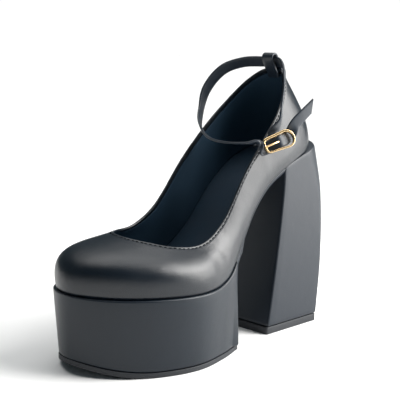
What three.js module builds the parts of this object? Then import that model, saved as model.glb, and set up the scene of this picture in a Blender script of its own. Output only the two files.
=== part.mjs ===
// Left ankle-strap platform court shoe with a tall curved block heel.
// Millimetres, +Z up, toe towards -Y, the wearer's outer side towards +X.
// Everything is drawn about the middle of the heel's foot and moved at the end, so that the
// origin is the middle of the footprint box, on the ground.
import * as THREE from "three";
import { mergeVertices } from "three/addons/utils/BufferGeometryUtils.js";

// ---------------------------------------------------------------- driving sizes
const GAP = 0.3; // clearance between pieces that touch
const WALL = 2.0; // leather and lining of the upper together
const INSOLE = 2.6; // padded sock and its board
const OUTSOLE = 3.4; // rubber tread under the platform
const TOE_SPRING = 7.0; // lift of the tread at the toe tip
const TOE_BREAK = -148; // y where the tread starts to lift
const LIFT_HEIGHT = 5.5; // rubber top piece of the heel
const LIFT_INSET = 0.3; // it is this much narrower than the heel on each side
const HEEL_MIDDLE = -4; // x of the heel's middle line
const HEEL_HALF = 29; // half the heel's width
const HEEL_NARROW = 0.6; // taken off that half width at the top
const HEEL_HEIGHT = 134; // of the heel at its middle
const BREAST_TOP = -13.2; // y of the heel's front face where it meets the arch
const BREAST_FOOT = -29.8; // y of the heel's front face at the ground
const BREAST_FLARE = 1.25; // how late the front face swings forward
const BREAST_HEIGHT = 124; // where the front face meets the arch
const PLATFORM_BACK = -69; // y of the platform's rear face
const SHANK = 4.2; // thickness of the covered arch
const ARCH_LEDGE = 0.2; // the arch stands this far outside the upper
const ARCH_TAPER = 2.2; // and its underside is narrower by this on each side
const TOP_EASE = 0.8; // rounding of a sole's top edge
const LIP = 1.7; // ledge of the platform round the upper
const TAPER = 3.0; // the platform's foot is smaller by this all round
const STRAP_WIDTH = 8.8;
const STRAP_THICK = 1.7;
const TAB_WIDTH = 10.5;
const TAB_THICK = 1.6;

// ---------------------------------------------------------------- tables
// Height of the line where upper and sole meet, along the shoe.
const seatLine = [
  { y: -192, z: 53.5 },
  { y: -150, z: 52.5 },
  { y: -110, z: 52.2 },
  { y: -95, z: 54.2 },
  { y: -82, z: 60.5 },
  { y: -65, z: 78.5 },
  { y: -50, z: 97.3 },
  { y: -35, z: 111.3 },
  { y: -18, z: 121.8 },
  { y: 5, z: 131.0 },
  { y: 38, z: 142.0 },
];

// Sections of the upper from toe to back. y, out and in place the lower edge; lineY, lineZ, lineOut
// and lineIn place the topline. The wall between is a curve: it leaves the lower edge upwards for
// rise of its height and lean outwards, and comes to the topline from reach of the way out and
// drop of the height below, with belly outwards.
const sections = [
  { y: -188.5, out: -9.5, in: -9.5, lineY: -143.5, lineZ: 85.8, lineOut: -4, lineIn: -4,
    rise: 0.76, lean: 4.4, reach: 0.68, drop: 0.17, belly: 0 },
  { y: -178.5, out: 16, in: -33, lineY: -138.5, lineZ: 84.2, lineOut: 14, lineIn: -18.5,
    rise: 0.82, lean: 5.5, reach: 0.69, drop: 0.18, belly: 0 },
  { y: -154, out: 36.5, in: -45.5, lineY: -126.5, lineZ: 81.6, lineOut: 26.5, lineIn: -29,
    rise: 0.76, lean: 5, reach: 0.62, drop: 0.2, belly: 0 },
  { y: -122, out: 46, in: -46.5, lineY: -107, lineZ: 81.4, lineOut: 31, lineIn: -33,
    rise: 0.62, lean: 4, reach: 0.5, drop: 0.25, belly: 0 },
  { y: -92, out: 41, in: -38, lineY: -86, lineZ: 92, lineOut: 29.6, lineIn: -33.7,
    rise: 0.5, lean: 2.5, reach: 0.4, drop: 0.3, belly: 0 },
  { y: -62, out: 30.5, in: -28, lineY: -57, lineZ: 125, lineOut: 25.4, lineIn: -33.6,
    rise: 0.35, lean: 1.5, reach: 0.3, drop: 0.35, belly: 0.3 },
  { y: -34, out: 25.4, in: -29, lineY: -34, lineZ: 148, lineOut: 22.4, lineIn: -31.5,
    rise: 0.35, lean: 2.5, reach: 0.3, drop: 0.35, belly: 0.8 },
  { y: -6, out: 24.6, in: -32.4, lineY: -15.5, lineZ: 166.5, lineOut: 18.5, lineIn: -27.5,
    rise: 0.35, lean: 3.5, reach: 0.3, drop: 0.32, belly: 2.2 },
  { y: 16, out: 20.6, in: -28.4, lineY: -3.0, lineZ: 183.4, lineOut: 12, lineIn: -19.5,
    rise: 0.35, lean: 3, reach: 0.28, drop: 0.3, belly: 3.1 },
  { y: 29.5, out: 8.6, in: -16.6, lineY: 4.2, lineZ: 193.8, lineOut: 4, lineIn: -11.5,
    rise: 0.35, lean: 1.5, reach: 0.25, drop: 0.3, belly: 3.2 },
  { y: 33.2, out: -4, in: -4, lineY: 5.8, lineZ: 195.4, lineOut: -4, lineIn: -4,
    rise: 0.35, lean: 1, reach: 0.25, drop: 0.3, belly: 3.0 },
];
const INNER_AHEAD = 6; // the inner topline runs this far ahead of the outer one at mid-length
const INNER_LIFT = 5.5; // and this much higher
const INNER_BULGE = 2.6; // and, beside the ankle, higher still by this

// The heel from the ground up: its back at the middle line, and the radius of its rear corners.
const heelShape = [
  { z: 0, back: 28.3, corner: 1.5 },
  { z: 49, back: 34.4, corner: 4 },
  { z: 96, back: 37.0, corner: 11 },
  { z: 127, back: 35.2, corner: 20 },
  { z: 142, back: 34.0, corner: 26 },
];

// The buckle: a flat-sided D lying against the collar. Its rails run along the strap.
const buckle = {
  middle: new THREE.Vector3(34, -32.9, 145.4),
  along: new THREE.Vector3(0.4, 0.88, 0.28), // along the rails, towards the back
  out: new THREE.Vector3(0.82, -0.42, 0.36), // away from the foot
  length: 24.4,
  width: 13,
  wall: 1.3, // across the wire
  height: 3, // of the wire, along out
  corner: 3, // of the square end, at the front
  upperFront: 0.65, // share of its half width that the upper rail keeps at the front
  lowerFront: 0.95, // and the lower rail
  upperRail: 0.5, // how much wider the upper rail is
};
const BAR_WIRE = 0.8; // radius of the middle bar
const BAR_DEPTH = -buckle.height / 2 - GAP - BAR_WIRE; // the middle bar lies behind the rails
const PRONG_WIRE = 0.75;

// The ankle strap. It starts on the buckle's middle bar, legUp takes it to the back loop, and
// roundFront takes it down the inner side and across the front. underBuckle is in the buckle's own
// directions: along, across and out. tail is its loose end. wx, wy and wz point across the strap.
const legUp = [
  { x: 29.4, y: -26.9, z: 160, wx: 0.56, wy: -0.74, wz: 0.3 },
  { x: 27.0, y: -22.8, z: 169.1, wx: 0.6, wy: -0.7, wz: 0.35 },
  { x: 24.0, y: -17.8, z: 178.4, wx: 0.62, wy: -0.68, wz: 0.36 },
  { x: 20.6, y: -13.2, z: 187.4, wx: 0.55, wy: -0.7, wz: 0.4 },
  { x: 14.0, y: -6.4, z: 196.4, wx: 0.34, wy: -0.66, wz: 0.6 },
];
const roundFront = [
  { x: -24.0, y: -8.2, z: 199.4, wx: 0.04, wy: -0.6, wz: 0.8 },
  { x: -35.8, y: -18.2, z: 193.6, wx: -0.06, wy: -0.68, wz: 0.72 },
  { x: -42.4, y: -29.0, z: 179, wx: -0.05, wy: -0.83, wz: 0.55 },
  { x: -41.3, y: -36.1, z: 163, wx: 0.3, wy: -0.8, wz: 0.52 },
  { x: -26.3, y: -51.0, z: 151.8, wx: 0.2, wy: -0.6, wz: 0.76 },
  { x: -16.4, y: -53.0, z: 145.6, wx: -0.2, wy: -0.82, wz: 0.5 },
  { x: -1.4, y: -57.5, z: 144, wx: -0.1, wy: -0.97, wz: 0.2 },
  { x: 13.4, y: -58.2, z: 143.9, wx: 0.31, wy: -0.94, wz: 0.11 },
  { x: 22.8, y: -53.8, z: 144.5, wx: 0.5, wy: -0.84, wz: 0.14 },
  { x: 27.2, y: -49.2, z: 145, wx: 0.34, wy: -0.86, wz: 0.4 },
];
const underBuckle = [
  { along: -13.6, across: -1.4, out: -3.3 },
  { along: -6.5, across: -0.8, out: -3.1 },
  { along: 0, across: -0.42, out: -0.2 },
  { along: 5.5, across: 0.3, out: -1.6 },
  { along: 11.4, across: 2.6, out: -3.5 },
];
const tail = [
  { x: 36.0, y: -17.8, z: 157.2, wx: -0.2, wy: -0.62, wz: 0.72 },
  { x: 38.2, y: -12, z: 163.3, wx: -0.08, wy: -0.68, wz: 0.7 },
  { x: 40.2, y: -5, z: 169.4, wx: 0, wy: -0.72, wz: 0.69 },
];
const STRAP_STEPS = 84;
const TIP_SLANT = 7.5; // how far the strap's tip is cut on the bias

// The loop tab over the back of the collar.
const TAB_FROM = 0.74; // share of the counter's height where its legs start
const TAB_RISE = 14; // how far it stands above the collar
const TAB_INSIDE = 1.7; // its inner leg is flat inside a curved collar

// ---------------------------------------------------------------- small helpers
const mix = (a, b, t) => a + (b - a) * t;
const clamp01 = (t) => Math.min(1, Math.max(0, t));

// Smooth value of column `want` where column `by` is `at`, through a table's rows.
function read(rows, by, want, at) {
  let i = 0;
  while (i < rows.length - 2 && at > rows[i + 1][by]) i++;
  const slope = (k) => {
    const a = rows[Math.max(k - 1, 0)];
    const b = rows[Math.min(k + 1, rows.length - 1)];
    return (b[want] - a[want]) / (b[by] - a[by]);
  };
  const span = rows[i + 1][by] - rows[i][by];
  const t = (at - rows[i][by]) / span;
  const t2 = t * t;
  const t3 = t2 * t;
  return (
    (2 * t3 - 3 * t2 + 1) * rows[i][want] +
    (t3 - 2 * t2 + t) * span * slope(i) +
    (3 * t2 - 2 * t3) * rows[i + 1][want] +
    (t3 - t2) * span * slope(i + 1)
  );
}
const seat = (y) => read(seatLine, "y", "z", y);
const seatSlope = (y) => seat(y + 0.5) - seat(y - 0.5);

// A closed solid through rings of points. A loop joins its last ring to its first, and any other
// loft is closed by a cap across each end ring, point i facing point n-1-i.
function loft(rings, loop = false) {
  const n = rings[0].length;
  const position = rings.flat().flatMap((p) => [p.x, p.y, p.z]);
  const index = [];
  const quad = (a, b, c, d) => index.push(a, b, c, a, c, d);
  const last = loop ? rings.length : rings.length - 1;
  for (let r = 0; r < last; r++) {
    const s = (r + 1) % rings.length;
    for (let i = 0; i < n; i++) {
      const j = (i + 1) % n;
      quad(r * n + i, r * n + j, s * n + j, s * n + i);
    }
  }
  if (!loop) {
    const top = (rings.length - 1) * n;
    for (let i = 0; i < Math.floor(n / 2) - (n % 2 ? 0 : 1); i++) {
      quad(i + 1, i, n - 1 - i, n - 2 - i);
      quad(top + i, top + i + 1, top + n - 2 - i, top + n - 1 - i);
    }
  }
  let solid = new THREE.BufferGeometry();
  solid.setAttribute("position", new THREE.Float32BufferAttribute(position, 3));
  solid.setIndex(index);
  solid = mergeVertices(solid, 1e-3);
  return faceOutwards(withoutSlivers(solid));
}

// Drops the triangles that merging has folded to a line.
function withoutSlivers(solid) {
  const kept = [];
  const index = solid.index.array;
  for (let i = 0; i < index.length; i += 3) {
    const [a, b, c] = [index[i], index[i + 1], index[i + 2]];
    if (a !== b && b !== c && a !== c) kept.push(a, b, c);
  }
  return solid.setIndex(kept);
}

// Turns every triangle round if the solid is inside out.
function faceOutwards(solid) {
  const p = solid.attributes.position;
  const index = Array.from(solid.index.array);
  const at = (i) => new THREE.Vector3().fromBufferAttribute(p, i);
  let volume = 0;
  for (let i = 0; i < index.length; i += 3) {
    volume += at(index[i]).dot(at(index[i + 1]).cross(at(index[i + 2])));
  }
  if (volume < 0) index.reverse();
  solid.setIndex(index);
  solid.computeVertexNormals();
  return solid;
}

const group = new THREE.Group();
const shoe = new THREE.Group();
group.add(shoe);

function add(name, geometry, color, roughness, metalness = 0) {
  const material = new THREE.MeshStandardMaterial({ color, roughness, metalness });
  const mesh = new THREE.Mesh(geometry, material);
  mesh.name = name;
  shoe.add(mesh);
}
const LEATHER = 0x1c1e22;
const SOCK = 0x262220;
const RUBBER = 0x202226;
const GOLD = 0xd9ab63;

// ---------------------------------------------------------------- the last
// Rows once round the shoe: toe, outer side, back, inner side. Each returns a point or a triple.
function roundTheShoe(outerPoint, innerPoint) {
  const inner = sections.slice(1, -1).reverse();
  const points = [...sections.map(outerPoint), ...inner.map(innerPoint)];
  return new THREE.CatmullRomCurve3(points, true, "centripetal");
}
const V = (x, y, z) => new THREE.Vector3(x, y, z);
const midLength = (row) => Math.sin((Math.PI * sections.indexOf(row)) / (sections.length - 1));
const innerLine = (row) => {
  const behindArch = clamp01((sections.indexOf(row) - 5) / 4);
  const lift = INNER_LIFT * midLength(row) + INNER_BULGE * Math.sin(Math.PI * behindArch);
  return V(row.lineIn, row.lineY - INNER_AHEAD * midLength(row), row.lineZ + lift);
};
const lowerEdge = roundTheShoe(
  (r) => V(r.out, r.y, 0),
  (r) => V(r.in, r.y, 0),
);
const topline = roundTheShoe(
  (r) => V(r.lineOut, r.lineY, r.lineZ),
  innerLine,
);
const atEdge = roundTheShoe(
  (r) => V(r.rise, r.lean, r.reach),
  (r) => V(r.rise, r.lean, r.reach),
);
const atLine = roundTheShoe(
  (r) => V(r.drop, r.belly, 0),
  (r) => V(r.drop, r.belly, 0),
);

function edgePoint(u) {
  const p = lowerEdge.getPoint(u);
  return p.setZ(seat(p.y));
}

// Outward direction of the lower edge, in plan.
function edgeNormal(u) {
  const t = lowerEdge.getTangent(u);
  return V(-t.y, t.x, 0).normalize().negate();
}

// A point of the upper's outer face: u goes once round, s from the lower edge to the topline.
function wallPoint(u, s) {
  const foot = edgePoint(u);
  const top = topline.getPoint(u);
  const edge = atEdge.getPoint(u);
  const line = atLine.getPoint(u);
  const normal = edgeNormal(u);
  const height = top.z - foot.z;
  const start = foot.clone().addScaledVector(normal, edge.y);
  start.z += edge.x * height;
  const end = V(mix(top.x, foot.x, edge.z), mix(top.y, foot.y, edge.z), top.z - line.x * height);
  end.addScaledVector(normal, line.y);
  return new THREE.CubicBezierCurve3(foot, start, end, top).getPoint(s);
}

// Outward direction of the upper's outer face. At the lower edge it lies in the seat's surface.
function wallNormal(u, s) {
  const d = 0.004;
  const across = wallPoint((u + d) % 1, s).sub(wallPoint((u - d + 1) % 1, s));
  const up = wallPoint(u, Math.min(1, s + 0.03)).sub(wallPoint(u, Math.max(0, s - 0.03)));
  const normal = across.cross(up).normalize();
  if (s === 0) {
    const y = edgePoint(u).y;
    const seatUp = V(0, -seatSlope(y), 1).normalize();
    normal.addScaledVector(seatUp, -normal.dot(seatUp)).normalize();
  }
  return normal;
}

function makeUpper() {
  const around = 84;
  const up = 10;
  const rings = [];
  for (let k = 0; k < around; k++) {
    const u = k / around;
    const outer = [];
    const inner = [];
    for (let j = 0; j <= up; j++) {
      const p = wallPoint(u, j / up);
      outer.push(p);
      inner.unshift(p.clone().addScaledVector(wallNormal(u, j / up), -WALL));
    }
    rings.push([...outer, ...inner]);
  }
  add("upper", loft(rings, true), LEATHER, 0.45);
}

// ---------------------------------------------------------------- soles
// x of the lower edge on the outer (side 1) or inner (side -1) half at a given y.
function edgeX(y, side) {
  let low = 0;
  let high = 0.5;
  for (let i = 0; i < 40; i++) {
    const middle = (low + high) / 2;
    const u = side > 0 ? middle : 1 - middle;
    if (lowerEdge.getPoint(u % 1).y < y) low = middle;
    else high = middle;
  }
  return lowerEdge.getPoint((side > 0 ? low : 1 - low) % 1).x;
}
const TOE_Y = lowerEdge.getPoint(0).y;
const TOE_X = lowerEdge.getPoint(0).x;
const BACK_Y = lowerEdge.getPoint(0.5).y;

// The outline grown by `grow`, at a share 0 to 1 of the way from the toe to y = end. Steps are
// closer together round the toe.
function outlineAt(share, end, grow) {
  const y = mix(TOE_Y, end, 1 - Math.cos((share * Math.PI) / 2));
  const length = (end - TOE_Y) / (end - TOE_Y + grow);
  const grownY = mix(TOE_Y - grow, end, (y - TOE_Y) / (end - TOE_Y));
  const side = (s) => {
    const middle = (edgeX(y, 1) + edgeX(y, -1)) / 2;
    const half = Math.abs(edgeX(y, s) - middle);
    const widen = share === 0 ? 0 : grow * Math.sqrt(clamp01((half / 44) * length));
    return middle + s * (half + widen);
  };
  return { y: grownY, out: side(1), in: side(-1) };
}
const toeLift = (y) => TOE_SPRING * clamp01((TOE_BREAK - y) / (TOE_BREAK - TOE_Y)) ** 2.2;

// One ring of a sole: top outer, down the outer wall, across, and up the inner wall.
function soleRing(top, topZ, foot, footZ, walls = [0.06, 0.94]) {
  const outer = [];
  const inner = [];
  for (const w of [0, ...walls, 1]) {
    const rim = w === 0 ? TOP_EASE : 0;
    const z = mix(topZ, footZ, w);
    const y = mix(top.y, foot.y, w);
    const half = (top.out - top.in) / 2;
    const trim = Math.min(rim, half);
    outer.push(V(mix(top.out, foot.out, w) - trim, y, z));
    inner.unshift(V(mix(top.in, foot.in, w) + trim, y, z));
  }
  return [...outer, ...inner];
}

const archTop = (y) => ({ y, out: edgeX(y, 1) + ARCH_LEDGE, in: edgeX(y, -1) - ARCH_LEDGE });

function makePlatform() {
  const rings = [];
  const forward = 26;
  const forwardEnd = PLATFORM_BACK - 8;
  for (let k = 0; k <= forward; k++) {
    const top = outlineAt(k / forward, forwardEnd, LIP);
    const foot = outlineAt(k / forward, forwardEnd, LIP - TAPER);
    rings.push(soleRing(top, seat(top.y) - GAP, foot, OUTSOLE + GAP + toeLift(foot.y)));
  }
  // The rear face: the foot of each ring climbs and turns under the arch.
  const climb = [
    { y: -6, z: 0 },
    { y: -1.6, z: 0 },
    { y: 0, z: 2.4 },
    { y: 0, z: 44 },
    { y: 1.6, z: 56 },
    { y: 5.5, z: 66 },
  ];
  climb.forEach((row, i) => {
    const topY = mix(PLATFORM_BACK - 7, PLATFORM_BACK + 4, i / (climb.length - 1));
    const top = archTop(topY);
    const footY = PLATFORM_BACK + row.y;
    const pull = i < 4 ? 1.2 * i : 3.6;
    const foot = { y: footY, out: edgeX(topY, 1) - pull, in: edgeX(topY, -1) + pull };
    rings.push(soleRing(top, seat(topY) - GAP, foot, OUTSOLE + GAP + row.z));
  });
  // The covered arch, up to the front of the heel.
  const arch = 12;
  const archStart = PLATFORM_BACK + 10;
  for (let k = 0; k <= arch; k++) {
    const y = mix(archStart, BREAST_TOP - GAP, k / arch);
    const top = archTop(y);
    const thick = SHANK * Math.hypot(1, seatSlope(y));
    const foot = { y, out: top.out - ARCH_TAPER, in: top.in + ARCH_TAPER };
    rings.push(soleRing(top, seat(y) - GAP, foot, seat(y) - GAP - thick, [0.3, 0.7]));
  }
  add("platform", loft(rings), LEATHER, 0.5);
}

function makeOutsole() {
  const rings = [];
  const steps = 26;
  for (let k = 0; k <= steps; k++) {
    const top = outlineAt(k / steps, PLATFORM_BACK - 1.5, LIP - TAPER - 0.6);
    const z = toeLift(top.y);
    rings.push(soleRing(top, OUTSOLE + z, top, z, [0.5]));
  }
  add("outsole", loft(rings), RUBBER, 0.7);
}

function makeInsole() {
  const inset = WALL + 0.5;
  const rings = [];
  const steps = 40;
  const middleY = (TOE_Y + BACK_Y) / 2;
  const reachY = (BACK_Y - TOE_Y) / 2;
  for (let k = 0; k <= steps; k++) {
    const turn = Math.cos((Math.PI * k) / steps);
    const y = middleY - reachY * turn;
    const shown = middleY - (reachY - inset) * turn;
    const middle = (edgeX(y, 1) + edgeX(y, -1)) / 2;
    const half = (edgeX(y, 1) - edgeX(y, -1)) / 2;
    const kept = Math.max(0, half - inset * Math.min(1, half / 12));
    const up = INSOLE * Math.hypot(1, seatSlope(shown));
    const ring = { y: shown, out: middle + kept, in: middle - kept };
    rings.push(soleRing(ring, seat(shown) + up, ring, seat(shown) + GAP / 3, [0.35]));
  }
  add("insole", loft(rings), SOCK, 0.8);
}

// ---------------------------------------------------------------- the heel
// Half of the heel's outline at height z, from the front corner round to the back's middle.
function heelHalf(z, steps) {
  const rise = clamp01(z / BREAST_HEIGHT);
  const front = BREAST_TOP + (BREAST_FOOT - BREAST_TOP) * (1 - rise) ** BREAST_FLARE;
  const back = read(heelShape, "z", "back", z);
  const corner = read(heelShape, "z", "corner", z);
  const half = HEEL_HALF - HEEL_NARROW * rise;
  const points = [{ x: half, y: front }];
  const straight = 3;
  for (let k = 1; k <= straight; k++) {
    points.push({ x: half, y: mix(front, back - corner, k / straight) });
  }
  for (let k = 1; k <= steps; k++) {
    const turn = (k / steps) * (Math.PI / 2);
    points.push({ x: half - corner * (1 - Math.cos(turn)), y: back - corner * (1 - Math.sin(turn)) });
  }
  points.push({ x: (half - corner) / 2, y: back });
  return points;
}

function heelRing(level) {
  const foot = LIFT_HEIGHT + GAP;
  const half = heelHalf(mix(foot, HEEL_HEIGHT, level), 8);
  const zAt = (y) => mix(foot, seat(y) - GAP, level);
  const outer = half.map((p) => V(HEEL_MIDDLE + p.x, p.y, zAt(p.y)));
  const inner = half.map((p) => V(HEEL_MIDDLE - p.x, p.y, zAt(p.y))).reverse();
  return [...outer, ...inner];
}

function makeHeel() {
  const levels = 14;
  const rings = [];
  for (let k = 0; k <= levels; k++) rings.push(heelRing(k / levels));
  add("heel_block", loft(rings), LEATHER, 0.55);

  const foot = heelHalf(0, 3);
  const outline = [
    ...foot.map((p) => new THREE.Vector2(HEEL_MIDDLE + p.x - LIFT_INSET, p.y)),
    ...foot.map((p) => new THREE.Vector2(HEEL_MIDDLE - p.x + LIFT_INSET, p.y)).reverse(),
  ];
  const lift = new THREE.ExtrudeGeometry(new THREE.Shape(outline), {
    depth: LIFT_HEIGHT,
    bevelEnabled: false,
  });
  add("heel_top_piece", lift, RUBBER, 0.75);
}

// ---------------------------------------------------------------- strap, tab and buckle
// A flat band's section: centre, across and outward directions, with its long edges eased.
function bandRing(centre, across, out, width, thick) {
  const w = width / 2;
  const t = thick / 2;
  const ease = t * 0.45;
  const corners = [
    [w - ease, t], [w, t - ease], [w, ease - t], [w - ease, -t],
    [ease - w, -t], [-w, ease - t], [-w, t - ease], [ease - w, t],
  ];
  return corners.map(([a, b]) => centre.clone().addScaledVector(across, a).addScaledVector(out, b));
}

const buckleAlong = buckle.along.clone().normalize();
const buckleOut = buckle.out
  .clone()
  .addScaledVector(buckleAlong, -buckle.out.dot(buckleAlong))
  .normalize();
const buckleAcross = buckleOut.clone().cross(buckleAlong);
const onBuckle = (along, across, out) =>
  buckle.middle
    .clone()
    .addScaledVector(buckleAlong, along)
    .addScaledVector(buckleAcross, across)
    .addScaledVector(buckleOut, out);

// The loop above the collar: its middle lines, and where the strap runs through it.
const tab = (() => {
  const rim = wallPoint(0.5, 1);
  const up = rim.clone().sub(wallPoint(0.5, 0.97)).normalize();
  const back = V(0, up.z, -up.y);
  const outer = GAP + TAB_THICK / 2;
  const inner = -WALL - GAP - TAB_THICK / 2 - TAB_INSIDE;
  const above = (rise, off, x = 0) =>
    rim.clone().addScaledVector(up, rise).addScaledVector(back, off).add(V(x, 0, 0));
  const strapRise = TAB_RISE - TAB_THICK - 1.3 - STRAP_WIDTH / 2;
  const middle = (outer + inner) / 2;
  return { up, above, outer, inner, middle, turn: outer - middle, strapRise };
})();

function makeStrap() {
  const start = BAR_DEPTH - BAR_WIRE - 1.5 * GAP - STRAP_THICK / 2;
  const station = (p) => ({ at: V(p.x, p.y, p.z), across: V(p.wx, p.wy, p.wz) });
  const stations = [
    { at: onBuckle(0, -1.4, start), across: buckleAlong.clone().negate() },
    { at: onBuckle(0, 3.5, start), across: buckleAlong.clone().negate() },
    { at: onBuckle(0.8, 7.8, start - 0.4), across: buckleAlong.clone().negate() },
    ...legUp.map(station),
    ...[7, -7].map((x) => ({ at: tab.above(tab.strapRise, tab.middle, x), across: tab.up })),
    ...roundFront.map(station),
    ...underBuckle.map((p) => ({ at: onBuckle(p.along, p.across, p.out), across: buckleAcross })),
    ...tail.map(station),
  ];
  const route = new THREE.CatmullRomCurve3(stations.map((s) => s.at), false, "centripetal");
  const turning = new THREE.CatmullRomCurve3(stations.map((s) => s.across), false, "centripetal");
  const rings = [];
  for (let k = 0; k <= STRAP_STEPS; k++) {
    const t = k / STRAP_STEPS;
    const along = route.getTangent(t);
    const across = turning.getPoint(t);
    across.addScaledVector(along, -across.dot(along)).normalize();
    const out = along.clone().cross(across);
    const ring = bandRing(route.getPoint(t), across, out, STRAP_WIDTH, STRAP_THICK);
    if (k === STRAP_STEPS) {
      ring.forEach((p) => {
        const side = p.clone().sub(route.getPoint(t)).dot(across) / STRAP_WIDTH;
        p.addScaledVector(along, TIP_SLANT * side);
      });
    }
    rings.push(ring);
  }
  add("ankle_strap", loft(rings), LEATHER, 0.5);
}

function makeTab() {
  const { above, middle, outer, inner, turn } = tab;
  const centres = [];
  const legAt = (s, off) => wallPoint(0.5, s).addScaledVector(wallNormal(0.5, s), off);
  for (const s of [TAB_FROM, 0.8, 0.86, 0.92, 0.96]) centres.push(legAt(s, outer));
  const straight = TAB_RISE - turn - TAB_THICK / 2;
  for (const share of [0.1, 0.4, 0.7]) centres.push(above(straight * share, outer));
  for (let k = 0; k <= 6; k++) {
    const a = (Math.PI * k) / 6;
    centres.push(above(straight + turn * Math.sin(a), middle + turn * Math.cos(a)));
  }
  for (const share of [0.7, 0.4, 0.1]) centres.push(above(straight * share, inner));
  for (const s of [0.96, 0.92]) centres.push(legAt(s, inner));
  const path = new THREE.CatmullRomCurve3(centres, false, "centripetal");
  const rings = [];
  const steps = 30;
  for (let k = 0; k <= steps; k++) {
    const along = path.getTangent(k / steps);
    rings.push(bandRing(path.getPoint(k / steps), V(1, 0, 0), V(0, along.z, -along.y), TAB_WIDTH, TAB_THICK));
  }
  add("back_loop", loft(rings), LEATHER, 0.5);
}

// The frame's middle line: square at the front, round at the back.
function frameLine() {
  const { length, width, wall, corner } = buckle;
  const x = length / 2 - wall / 2;
  const y = width / 2 - wall / 2;
  const line = new THREE.Path();
  line.moveTo(-x + corner, y);
  line.lineTo(x - y, y);
  line.absarc(x - y, 0, y, Math.PI / 2, -Math.PI / 2, true);
  line.lineTo(-x + corner, -y);
  line.quadraticCurveTo(-x, -y, -x, -y + corner);
  line.lineTo(-x, y - corner);
  line.quadraticCurveTo(-x, y, -x + corner, y);
  return line;
}

// The frame narrows towards its front: a point of the middle line, at its place in the taper.
function onFrame(p) {
  const share = clamp01((p.x + buckle.length / 2) / (buckle.length - buckle.width / 2));
  return { x: p.x, y: p.y * mix(p.y > 0 ? buckle.upperFront : buckle.lowerFront, 1, share) };
}

// Rings of a round rod through points. aside is square to it and to the buckle's out.
function rod(points, wires, aside) {
  const sides = 10;
  return points.map((p, i) => {
    const ring = [];
    for (let k = 0; k < sides; k++) {
      const a = (2 * Math.PI * (k + 0.5)) / sides;
      const across = p.clone().addScaledVector(aside, wires[i] * Math.cos(a));
      ring.push(across.addScaledVector(buckleOut, wires[i] * Math.sin(a)));
    }
    return ring;
  });
}

function makeBuckle() {
  const line = frameLine();
  const steps = 40;
  const frame = [];
  for (let k = 0; k < steps; k++) {
    const p = onFrame(line.getPoint(k / steps));
    const before = onFrame(line.getPoint((k - 0.2 + steps) / steps % 1));
    const after = onFrame(line.getPoint((k + 0.2) / steps % 1));
    const t = V(after.x - before.x, after.y - before.y, 0).normalize();
    const aside = buckleAlong.clone().multiplyScalar(-t.y).addScaledVector(buckleAcross, t.x);
    const wall = buckle.wall + buckle.upperRail * clamp01(t.x) * clamp01(p.y);
    frame.push(bandRing(onBuckle(p.x, p.y, 0), buckleOut, aside, buckle.height, wall));
  }
  add("buckle_frame", loft(frame, true), GOLD, 0.25, 1);

  const half = buckle.width / 2 - buckle.wall / 2;
  const barEnds = [-half, half].map((y) => onBuckle(0, onFrame({ x: 0, y }).y, BAR_DEPTH));
  add("buckle_bar", loft(rod(barEnds, [BAR_WIRE, BAR_WIRE], buckleAlong)), GOLD, 0.25, 1);

  // The prong comes up through the strap and rests on the frame's square end.
  const low = underBuckle[2].out + STRAP_THICK / 2 + GAP + PRONG_WIRE;
  const high = buckle.height / 2 + GAP + PRONG_WIRE;
  const tip = -buckle.length / 2 - 0.4;
  const prong = [
    onBuckle(-0.8, -0.3, low + 0.15),
    onBuckle(-3.6, -0.6, mix(low, high, 0.75)),
    onBuckle(-7.5, -1, high + 0.35),
    onBuckle(tip, -1.5, high),
  ];
  const wires = [1, 1, 0.95, 0.75].map((share) => PRONG_WIRE * share);
  add("buckle_prong", loft(rod(prong, wires, buckleAcross)), GOLD, 0.25, 1);
}

makeUpper();
makePlatform();
makeOutsole();
makeInsole();
makeHeel();
makeStrap();
makeTab();
makeBuckle();

// Moves the drawing so that the origin is the middle of the footprint box, on the ground.
const box = new THREE.Box3().setFromObject(shoe);
shoe.position.set(-(box.min.x + box.max.x) / 2, -(box.min.y + box.max.y) / 2, -box.min.z);

export default group;
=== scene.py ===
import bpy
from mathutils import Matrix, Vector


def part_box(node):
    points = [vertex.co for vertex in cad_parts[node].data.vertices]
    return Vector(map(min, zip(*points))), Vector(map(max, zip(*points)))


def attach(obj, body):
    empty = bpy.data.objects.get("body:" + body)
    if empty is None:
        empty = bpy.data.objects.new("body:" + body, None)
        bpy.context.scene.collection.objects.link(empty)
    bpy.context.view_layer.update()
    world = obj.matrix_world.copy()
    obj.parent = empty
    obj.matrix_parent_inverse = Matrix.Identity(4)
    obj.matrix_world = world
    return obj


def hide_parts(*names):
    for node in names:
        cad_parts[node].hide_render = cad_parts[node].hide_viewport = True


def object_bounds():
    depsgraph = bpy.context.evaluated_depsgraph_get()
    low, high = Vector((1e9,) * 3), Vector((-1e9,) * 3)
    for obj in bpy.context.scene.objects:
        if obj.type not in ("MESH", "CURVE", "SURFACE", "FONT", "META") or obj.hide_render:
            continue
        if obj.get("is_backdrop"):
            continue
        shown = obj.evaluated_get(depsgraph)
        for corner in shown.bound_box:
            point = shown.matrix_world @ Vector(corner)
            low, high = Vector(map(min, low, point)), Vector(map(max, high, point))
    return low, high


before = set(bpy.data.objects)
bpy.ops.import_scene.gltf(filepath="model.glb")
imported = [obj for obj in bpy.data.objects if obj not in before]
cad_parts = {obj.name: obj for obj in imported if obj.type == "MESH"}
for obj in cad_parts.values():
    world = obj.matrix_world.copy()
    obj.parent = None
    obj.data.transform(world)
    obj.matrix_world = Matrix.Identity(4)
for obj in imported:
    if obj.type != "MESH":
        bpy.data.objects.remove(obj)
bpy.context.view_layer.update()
import math

import bmesh
import bpy
from mathutils import Matrix, Vector

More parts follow.
